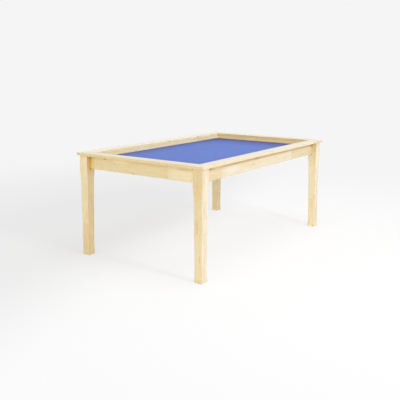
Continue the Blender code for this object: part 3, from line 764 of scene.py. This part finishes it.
# Single marks where the photograph shows them: knots, flecks, and soft patches of paler, milky, amber or
# resin-yellow wood, and among them dots, streaks and patches of painted shade and painted light, noted
# where they stand. Each is its place, half width, half length, depth and colour; later ones lie on top.
# The dot, fleck and resin colours also paint shade, and the light and pale ones also paint light
KNOT_AND_SHADE_DOT, FLECK_AND_SHADE_STREAK, PALE, AMBER = "#6B4420", "#A26A14", "#E3CE99", "#E0AE50"
LIGHT, MILKY, RESIN_AND_SHADE = "#FCE9B8", "#E2D9C8", "#F4C24C"
LONG_BOARD_KNOTS_AND_SHADE = (
    ((-0.744, -0.5075, 0.7225), 0.006, 0.012, 0.85, KNOT_AND_SHADE_DOT),
    # These three flecks lie in the shade line under the rim: partly the wood's own streaks, partly painted
    # shade
    ((0.640, -0.5075, 0.732), 0.014, 0.090, 0.8, FLECK_AND_SHADE_STREAK),
    ((-0.146, -0.5075, 0.722), 0.011, 0.050, 0.5, FLECK_AND_SHADE_STREAK),
    ((-0.480, -0.5075, 0.722), 0.010, 0.110, 0.4, FLECK_AND_SHADE_STREAK),
    # Painted light: a pale stretch that lifts the painted shade under the rim beside the front left leg
    ((-0.655, -0.5075, 0.722), 0.014, 0.090, 0.8, PALE),
    ((-0.485, -0.5120, 0.688), 0.045, 0.130, 0.60, MILKY),
    ((-0.255, -0.5120, 0.688), 0.045, 0.090, 0.10, AMBER),
)
SHORT_BOARD_KNOTS_AND_SHADE = (
    # Painted shade: a resin-yellow patch in the corner beside the back left leg
    ((-0.850, 0.462, 0.680), 0.062, 0.030, 0.35, RESIN_AND_SHADE),
    ((-0.850, 0.324, 0.7245), 0.006, 0.012, 0.75, KNOT_AND_SHADE_DOT),
    # Painted shade: two dots where the apron meets the front left leg, at the apron's foot and under the rim
    ((-0.850, -0.4345, 0.656), 0.004, 0.008, 0.4, KNOT_AND_SHADE_DOT),
    ((-0.850, -0.446, 0.7275), 0.006, 0.012, 0.85, KNOT_AND_SHADE_DOT),
    ((-0.850, 0.060, 0.648), 0.008, 0.030, 0.35, FLECK_AND_SHADE_STREAK),
    ((-0.856, -0.370, 0.684), 0.050, 0.150, 0.24, LIGHT),
    ((-0.850, 0.180, 0.7185), 0.012, 0.120, 0.40, LIGHT),
    # Painted shade: a streak along the shade line under the rim
    ((-0.850, -0.370, 0.7170), 0.011, 0.085, 0.26, FLECK_AND_SHADE_STREAK),
)
LINER_KNOTS = (
    ((0.076, 0.474, 0.755), 0.007, 0.014, 0.5, KNOT_AND_SHADE_DOT),
    ((0.491, 0.474, 0.757), 0.009, 0.018, 0.5, KNOT_AND_SHADE_DOT),
    ((-0.352, 0.474, 0.7215), 0.006, 0.012, 0.4, KNOT_AND_SHADE_DOT),
    ((-0.560, 0.474, 0.740), 0.060, 0.300, 0.12, RESIN_AND_SHADE),
)
LEG_KNOTS_AND_SHADE = (
    # Painted shade: a resin-yellow patch high on the back left leg's front face, under the apron and rim
    ((-0.855, 0.4680, 0.670), 0.034, 0.085, 0.46, RESIN_AND_SHADE),
    ((-0.881, -0.4985, 0.328), 0.005, 0.012, 0.4, FLECK_AND_SHADE_STREAK),
    ((-0.881, -0.4985, 0.365), 0.007, 0.045, 0.35, FLECK_AND_SHADE_STREAK),
    ((0.8536, 0.4725, 0.168), 0.009, 0.018, 0.6, KNOT_AND_SHADE_DOT),
    # Painted shade: dots where the aprons meet the legs, at the apron's foot and under the rim
    ((-0.851, 0.4685, 0.641), 0.006, 0.012, 0.7, KNOT_AND_SHADE_DOT),
    ((-0.851, 0.4685, 0.716), 0.006, 0.012, 0.7, KNOT_AND_SHADE_DOT),
    ((0.811, -0.4980, 0.639), 0.007, 0.014, 0.8, KNOT_AND_SHADE_DOT),
    ((-0.890, -0.5030, 0.590), 0.050, 0.070, 0.30, AMBER),
    ((-0.890, -0.5030, 0.378), 0.050, 0.075, 0.16, AMBER),
    ((0.812, 0.5100, 0.160), 0.050, 0.200, 0.40, LIGHT),
    ((0.812, 0.5100, 0.100), 0.050, 0.130, 0.28, AMBER),
    # Painted light: a paler patch on the back right leg's front face, which lies in the table's shade
    ((0.838, 0.4640, 0.230), 0.050, 0.100, 0.40, LIGHT),
    # Painted light: a paler patch high on the front right leg's left face, which lies in the apron's shade
    ((0.808, -0.4920, 0.540), 0.050, 0.150, 0.50, LIGHT),
    ((0.862, -0.5380, 0.140), 0.050, 0.160, 0.24, AMBER),
    ((0.845, -0.5380, 0.590), 0.050, 0.150, 0.35, LIGHT),
    # Painted light: a paler patch on the back left leg's front face, which lies in the rim's shade
    ((-0.840, 0.4600, 0.540), 0.050, 0.120, 0.45, LIGHT),
    ((-0.890, 0.5000, 0.120), 0.050, 0.160, 0.07, FLECK_AND_SHADE_STREAK),
)
# The five tones of each wood's blocks, from dark to light with a middling one last. The boards, the
# liners and the far rims are one rubberwood in their own tones, paler where the lamps light it more and
# darker or more amber where it lies in shade: painted light and painted shade.
LONG_BOARDS_PAINTED_LIGHT = ("#DAC8A0", "#DDCFAC", "#DFD3B2", "#E1D9BC", "#E0D2B4")
SHORT_BOARDS_PAINTED_SHADE = ("#D9C490", "#DDCB99", "#DFCFA0", "#E6D9B1", "#E2D0A7")
LEG_BLOCKS = ("#DCC693", "#E3D1A2", "#E5D5A8", "#ECE1BC", "#E8D8AE")
FAR_LONG_RIM_PAINTED_LIGHT = ("#DCC99C", "#E2D0A3", "#F0E0AF", "#F5E9BE", "#F4E1B0")
FAR_SHORT_RIM_PAINTED_SHADE = ("#D8B979", "#DBBE7F", "#E2C98D", "#E6D19A", "#E4CB91")
LONG_LINERS_PAINTED_LIGHT = ("#F2D79E", "#F7DEA7", "#FEEAB4", "#FFF1C1", "#FFEBB6")
SHORT_LINERS_PAINTED_LIGHT_AND_SHADE = ("#ECC678", "#F2CE82", "#FCDE93", "#FFE7A2", "#FEE095")
# Strips and layers of the glued-up boards, 1 mm clear of the boards' faces so that no face lies on a bound
CLEAR = 0.001
RIM_STRIP = RIM_WIDTH / 2 + CLEAR
APRON_LAYER = (Z, APRON_FOOT - CLEAR, RIM_UNDERSIDE - APRON_FOOT + CLEAR)
LEG_LAMELLA = (LEG_INSIDE - LEG_OUTSIDE + 2 * CLEAR) / 3
BOARD_BLOCK, LEG_BLOCK = 0.509, 0.30
ALONG_X = {
    "grain": X, "strip": (Y, HALF_WIDTH - RIM_WIDTH / 2, RIM_STRIP), "layer": APRON_LAYER,
    "block": BOARD_BLOCK, "stagger": (0.37, 0.21, 0.975),
}
ALONG_Y = {
    "grain": Y, "strip": (X, HALF_LENGTH - RIM_WIDTH / 2, RIM_STRIP), "layer": APRON_LAYER,
    "block": BOARD_BLOCK, "stagger": (0.37, 0.21, 0.252),
}
UPRIGHT = {
    "grain": Z, "strip": (X, HALF_LENGTH - LEG_INSIDE - CLEAR, LEG_LAMELLA), "layer": (Y, -1.0, 1.0),
    "block": LEG_BLOCK, "stagger": (0.663, 0.29, 0.45),
}

# Lit and shaded copies of the one rubberwood: each copy's tones, face tone and corner shade are painted
# light and painted shade for where it stands.
wood_along_x = finger_jointed_rubberwood(
    "long_boards", **ALONG_X, palette=LONG_BOARDS_PAINTED_LIGHT, draw=1479.0, corner_shade=(0.045, 0.95, 0.69),
    knots_and_shade=LONG_BOARD_KNOTS_AND_SHADE,
)
wood_along_y = finger_jointed_rubberwood(
    "short_boards", **ALONG_Y, palette=SHORT_BOARDS_PAINTED_SHADE, draw=970.0, corner_shade=(0.045, 0.36, 0.69),
    knots_and_shade=SHORT_BOARD_KNOTS_AND_SHADE,
)
liner_along_x = finger_jointed_rubberwood(
    "long_liners", **ALONG_X, palette=LONG_LINERS_PAINTED_LIGHT, draw=1051.0, knots_and_shade=LINER_KNOTS,
)
liner_along_y = finger_jointed_rubberwood(
    "short_liners", **ALONG_Y, palette=SHORT_LINERS_PAINTED_LIGHT_AND_SHADE, draw=1534.0,
)
far_long_rim = finger_jointed_rubberwood(
    "far_long_rim", **ALONG_X, palette=FAR_LONG_RIM_PAINTED_LIGHT, draw=1051.0,
    other_cut=(Y, "#FFF1C6"), knots_and_shade=LINER_KNOTS,
)
far_short_rim = finger_jointed_rubberwood(
    "far_short_rim", **ALONG_Y, palette=FAR_SHORT_RIM_PAINTED_SHADE, draw=1534.0,
    other_cut=(X, "#F6DC98"),
)
front_legs = finger_jointed_rubberwood(
    "front_legs", **UPRIGHT, palette=LEG_BLOCKS, draw=5184.0, corner_shade=(0.03, 0.05, 0.4),
    other_cut=(Y, "#DED7C9"), knots_and_shade=LEG_KNOTS_AND_SHADE,
)
back_legs = finger_jointed_rubberwood(
    "back_legs", **UPRIGHT, palette=LEG_BLOCKS, draw=100.0, corner_shade=(0.045, 0.3, 0.4),
    other_cut=(Y, "#F3D9A2"), knots_and_shade=LEG_KNOTS_AND_SHADE,
)
pine_along_x = planed_pine("long_ledgers", X)
pine_along_y = planed_pine("cross_pieces", Y)
plywood = birch_plywood()
cloth = brushed_blue_cloth()
foam = closed_cell_foam()
steel = zinc_plated_steel()
nylon = moulded_nylon()

# Dress the CAD nodes; where there are two finishes, the second is for the pieces that run across
DRESS = {
    "rim_back": (far_long_rim,),
    "rim_right": (far_short_rim,),
    "rim": (wood_along_x, wood_along_y),
    "apron": (wood_along_x, wood_along_y),
    "well_liner": (liner_along_x, liner_along_y),
    "ledger": (pine_along_x, pine_along_y),
    "leg_front": (front_legs,),
    "leg_back": (back_legs,),
    "bearer": (pine_along_y,),
    "play_panel": (plywood,),
    "corner_bracket": (steel,),
    "hanger_bolt": (steel,),
    "washer": (steel,),
    "hex_nut": (steel,),
    "foot_glide": (nylon,),
    "play_underlay": (foam,),
    "play_cloth": (cloth,),
}
for name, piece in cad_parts.items():
    finishes = next(choice for kind, choice in DRESS.items() if name.startswith(kind))
    runs_across = name.endswith(("_left", "_right")) and len(finishes) > 1
    piece.data.materials.clear()
    piece.data.materials.append(finishes[1 if runs_across else 0])


# New pieces


def add_screws(name, turns, places):
    """Pan heads at the given turns and places, as one piece on the frame."""
    heads = skin(name, placed(screw_grid(), turns, places))
    finish_piece(heads, "table_frame", steel)


cloth_piece = skin("blue_cloth", cloth_grid())
wall = cloth_piece.modifiers.new("cloth_thickness", "SOLIDIFY")
wall.thickness = CLOTH_THICKNESS
wall.offset = -1.0
finish_piece(cloth_piece, "play_surface", cloth, ("play_cloth",))
foam_piece = skin("foam_underlay", foam_grid())
finish_piece(foam_piece, "play_surface", foam, ("play_underlay",))
staples = skin("cloth_staples", placed(staple_grid(), *staple_places()))
finish_piece(staples, "play_surface", steel)

for corner, (sign_x, sign_y) in CORNERS.items():
    add_screws(f"bracket_screws_{corner}", *bracket_screw_places(sign_x, sign_y))
    low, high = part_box(f"hanger_bolt_{corner}")
    near = math.sqrt(2) * (HALF_LENGTH - max(abs(low.x), abs(high.x))) + BOLT_RADIUS
    far = math.sqrt(2) * (HALF_LENGTH - min(abs(low.x), abs(high.x))) - BOLT_RADIUS
    bolt = skin(f"threaded_bolt_{corner}", bolt_grid(sign_x, sign_y, near, far))
    finish_piece(bolt, "table_frame", steel, (f"hanger_bolt_{corner}",))
for side in SIDES:
    add_screws(f"ledger_screws_{side}", *ledger_screw_places(side))
for number in BEARERS:
    add_screws(f"bearer_screws_{number}", *bearer_screw_places(number))


# Stage

BACKGROUND = "#F5F5F5"
FLOOR_RADIUS = 60.0
PAPER_FIBRE = 0.02
# Distances from the table's middle between which the floor runs into the backdrop
FLOOR_NEAR, FLOOR_FAR = 1.2, 5.0
# The floor's own glow near the table: its share of what is seen, and its strength behind the table, where
# the weaker glow is a painted shadow of the table
GLOW_SHARE, GLOW_BEHIND = 0.77, 0.86
# Where behind starts and ends, measured along +Y and this much against +X
BEHIND_START, BEHIND_END, BEHIND_SLANT = -0.05, 1.0, -0.25
HORIZON_LIGHT, ZENITH_LIGHT = 1.40, 0.0
# Lamps, as stand, target, side of the square and power in watts
SOFTBOXES = {
    "key_softbox": ((-1.0, -5.3, 3.45), (0.1, 0.0, 0.5), 1.0, 142.0),
    "fill_softbox": ((-7.5, 1.0, 1.1), (0.2, 0.0, 0.5), 2.2, 121.0),
    "top_softbox": ((0.0, -1.0, 4.9), (0.1, 0.0, 0.6), 2.5, 94.0),
}


def floor_grid():
    """A level disc: rings whose radius grows as the square of the step, so they are close near the table."""
    radius = FLOOR_RADIUS * np.linspace(0, 1, 24)[:, None] ** 2
    angle = np.linspace(0, 2 * np.pi, 64, endpoint=False)
    return np.stack((radius * np.cos(angle), radius * np.sin(angle), 0 * radius * angle), axis=-1)[None]


def seen_directly(tree):
    """One for rays from the camera, from gloss and through glass, and zero for those that light things."""
    path = wire(tree, "ShaderNodeLightPath").node.outputs
    seen = path["Is Camera Ray"]
    for ray in ("Is Glossy Ray", "Is Transmission Ray"):
        seen = wire(tree, "ShaderNodeMath", {0: seen, 1: path[ray]}, operation="MAXIMUM")
    return seen


def studio_paper():
    """Matt white background paper: takes the table's soft shadow, and runs into the backdrop far off.

    It glows whitest in front of the table, towards the key lamp, and less behind it, a painted shadow
    of the table there. Its own glow hides most of the real shadows near the table, and all of them far off.
    """
    material, tree = new_material("studio_paper_matt")
    place = wire(tree, "ShaderNodeTexCoord", out="Object")
    fibre = wire(tree, "ShaderNodeTexNoise", {"Vector": place, "Scale": 1 / PAPER_FIBRE, "Detail": 2.0})
    paint = tones(wire(tree, "ShaderNodeValToRGB", {0: fibre}), ((0.3, "#F1F1F1"), (0.7, "#F3F3F3")))
    paper = wire(tree, "ShaderNodeBsdfDiffuse", {"Color": paint})
    away = wire(tree, "ShaderNodeVectorMath", {0: place}, out="Value", operation="LENGTH")
    away = wire(
        tree, "ShaderNodeMapRange", {0: away, 1: FLOOR_NEAR, 2: FLOOR_FAR}, interpolation_type="SMOOTHSTEP",
    )
    near_to_far = wire(
        tree, "ShaderNodeMix", {"Factor": away, 6: colour("#FFFFFF"), 7: colour(BACKGROUND)},
        out=2, data_type="RGBA",
    )
    parts = wire(tree, "ShaderNodeSeparateXYZ", {0: place}).node.outputs
    behind = wire(
        tree, "ShaderNodeMath", {0: parts[X], 1: BEHIND_SLANT, 2: parts[Y]}, operation="MULTIPLY_ADD",
    )
    bright = wire(
        tree, "ShaderNodeMapRange",
        {0: behind, 1: BEHIND_START, 2: BEHIND_END, 3: 1.0, 4: GLOW_BEHIND},
        interpolation_type="SMOOTHSTEP",
    )
    bright = wire(tree, "ShaderNodeMapRange", {0: away, 3: bright, 4: 1.0})
    glow = wire(tree, "ShaderNodeEmission", {"Color": near_to_far, "Strength": bright})
    share = wire(tree, "ShaderNodeMapRange", {0: away, 3: GLOW_SHARE, 4: 1.0})
    share = wire(tree, "ShaderNodeMath", {0: share, 1: seen_directly(tree)}, operation="MULTIPLY")
    blend = wire(tree, "ShaderNodeMixShader", {0: share, 1: paper, 2: glow})
    wire(tree, "ShaderNodeOutputMaterial", {"Surface": blend})
    return material


def studio_world():
    """Soft light from all round, strongest at the horizon and none overhead. Seen directly, it is the
    plain backdrop."""
    world = bpy.data.worlds.new("studio")
    world.use_nodes = True
    tree = world.node_tree
    tree.nodes.clear()
    direction = wire(tree, "ShaderNodeTexCoord", out="Generated")
    rise = wire(tree, "ShaderNodeSeparateXYZ", {0: direction}, out=Z)
    rise = wire(tree, "ShaderNodeMapRange", {0: rise, 3: HORIZON_LIGHT, 4: ZENITH_LIGHT})
    light = wire(tree, "ShaderNodeBackground", {"Color": colour("#FFFFFF"), "Strength": rise})
    backdrop = wire(tree, "ShaderNodeBackground", {"Color": colour(BACKGROUND), "Strength": 1.0})
    sky = wire(tree, "ShaderNodeMixShader", {0: seen_directly(tree), 1: light, 2: backdrop})
    wire(tree, "ShaderNodeOutputWorld", {"Surface": sky})
    return world


floor = skin("studio_floor", floor_grid())
floor.data.materials.append(studio_paper())
bpy.context.scene.world = studio_world()

for name, (stand, target, size, power) in SOFTBOXES.items():
    lamp = bpy.data.lights.new(name, "AREA")
    lamp.shape = "SQUARE"
    lamp.size = size
    lamp.energy = power
    softbox = bpy.data.objects.new(name, lamp)
    softbox.location = stand
    softbox.rotation_euler = (Vector(target) - Vector(stand)).to_track_quat("-Z", "Y").to_euler()
    bpy.context.collection.objects.link(softbox)

# Camera, from lines and corners measured in the photograph
EYE = (-3.7589, -2.5591, 1.3353)
YAW, PITCH, ROLL = 0.6160, 0.1164, 0.0018
FOCAL_PIXELS = 577.25
IMAGE_SIDE = 400
AXIS_ROW = 140
SENSOR_WIDTH = 36.0
CLIP_END = 200.0

camera = bpy.data.cameras.new("photograph")
camera.sensor_width = SENSOR_WIDTH
camera.lens = FOCAL_PIXELS * SENSOR_WIDTH / IMAGE_SIDE
camera.shift_y = (AXIS_ROW - IMAGE_SIDE / 2) / IMAGE_SIDE
camera.clip_end = CLIP_END
forward = Vector((math.cos(PITCH) * math.cos(YAW), math.cos(PITCH) * math.sin(YAW), -math.sin(PITCH)))
level_right = Vector((math.sin(YAW), -math.cos(YAW), 0))
level_up = level_right.cross(forward)
right = math.cos(ROLL) * level_right + math.sin(ROLL) * level_up
up = right.cross(forward)
camera_object = bpy.data.objects.new("photograph", camera)
turn = Matrix((right, up, -forward)).transposed()
camera_object.matrix_world = Matrix.Translation(EYE) @ turn.to_4x4()
bpy.context.collection.objects.link(camera_object)
bpy.context.scene.camera = camera_object
bpy.context.scene.view_settings.view_transform = "Standard"
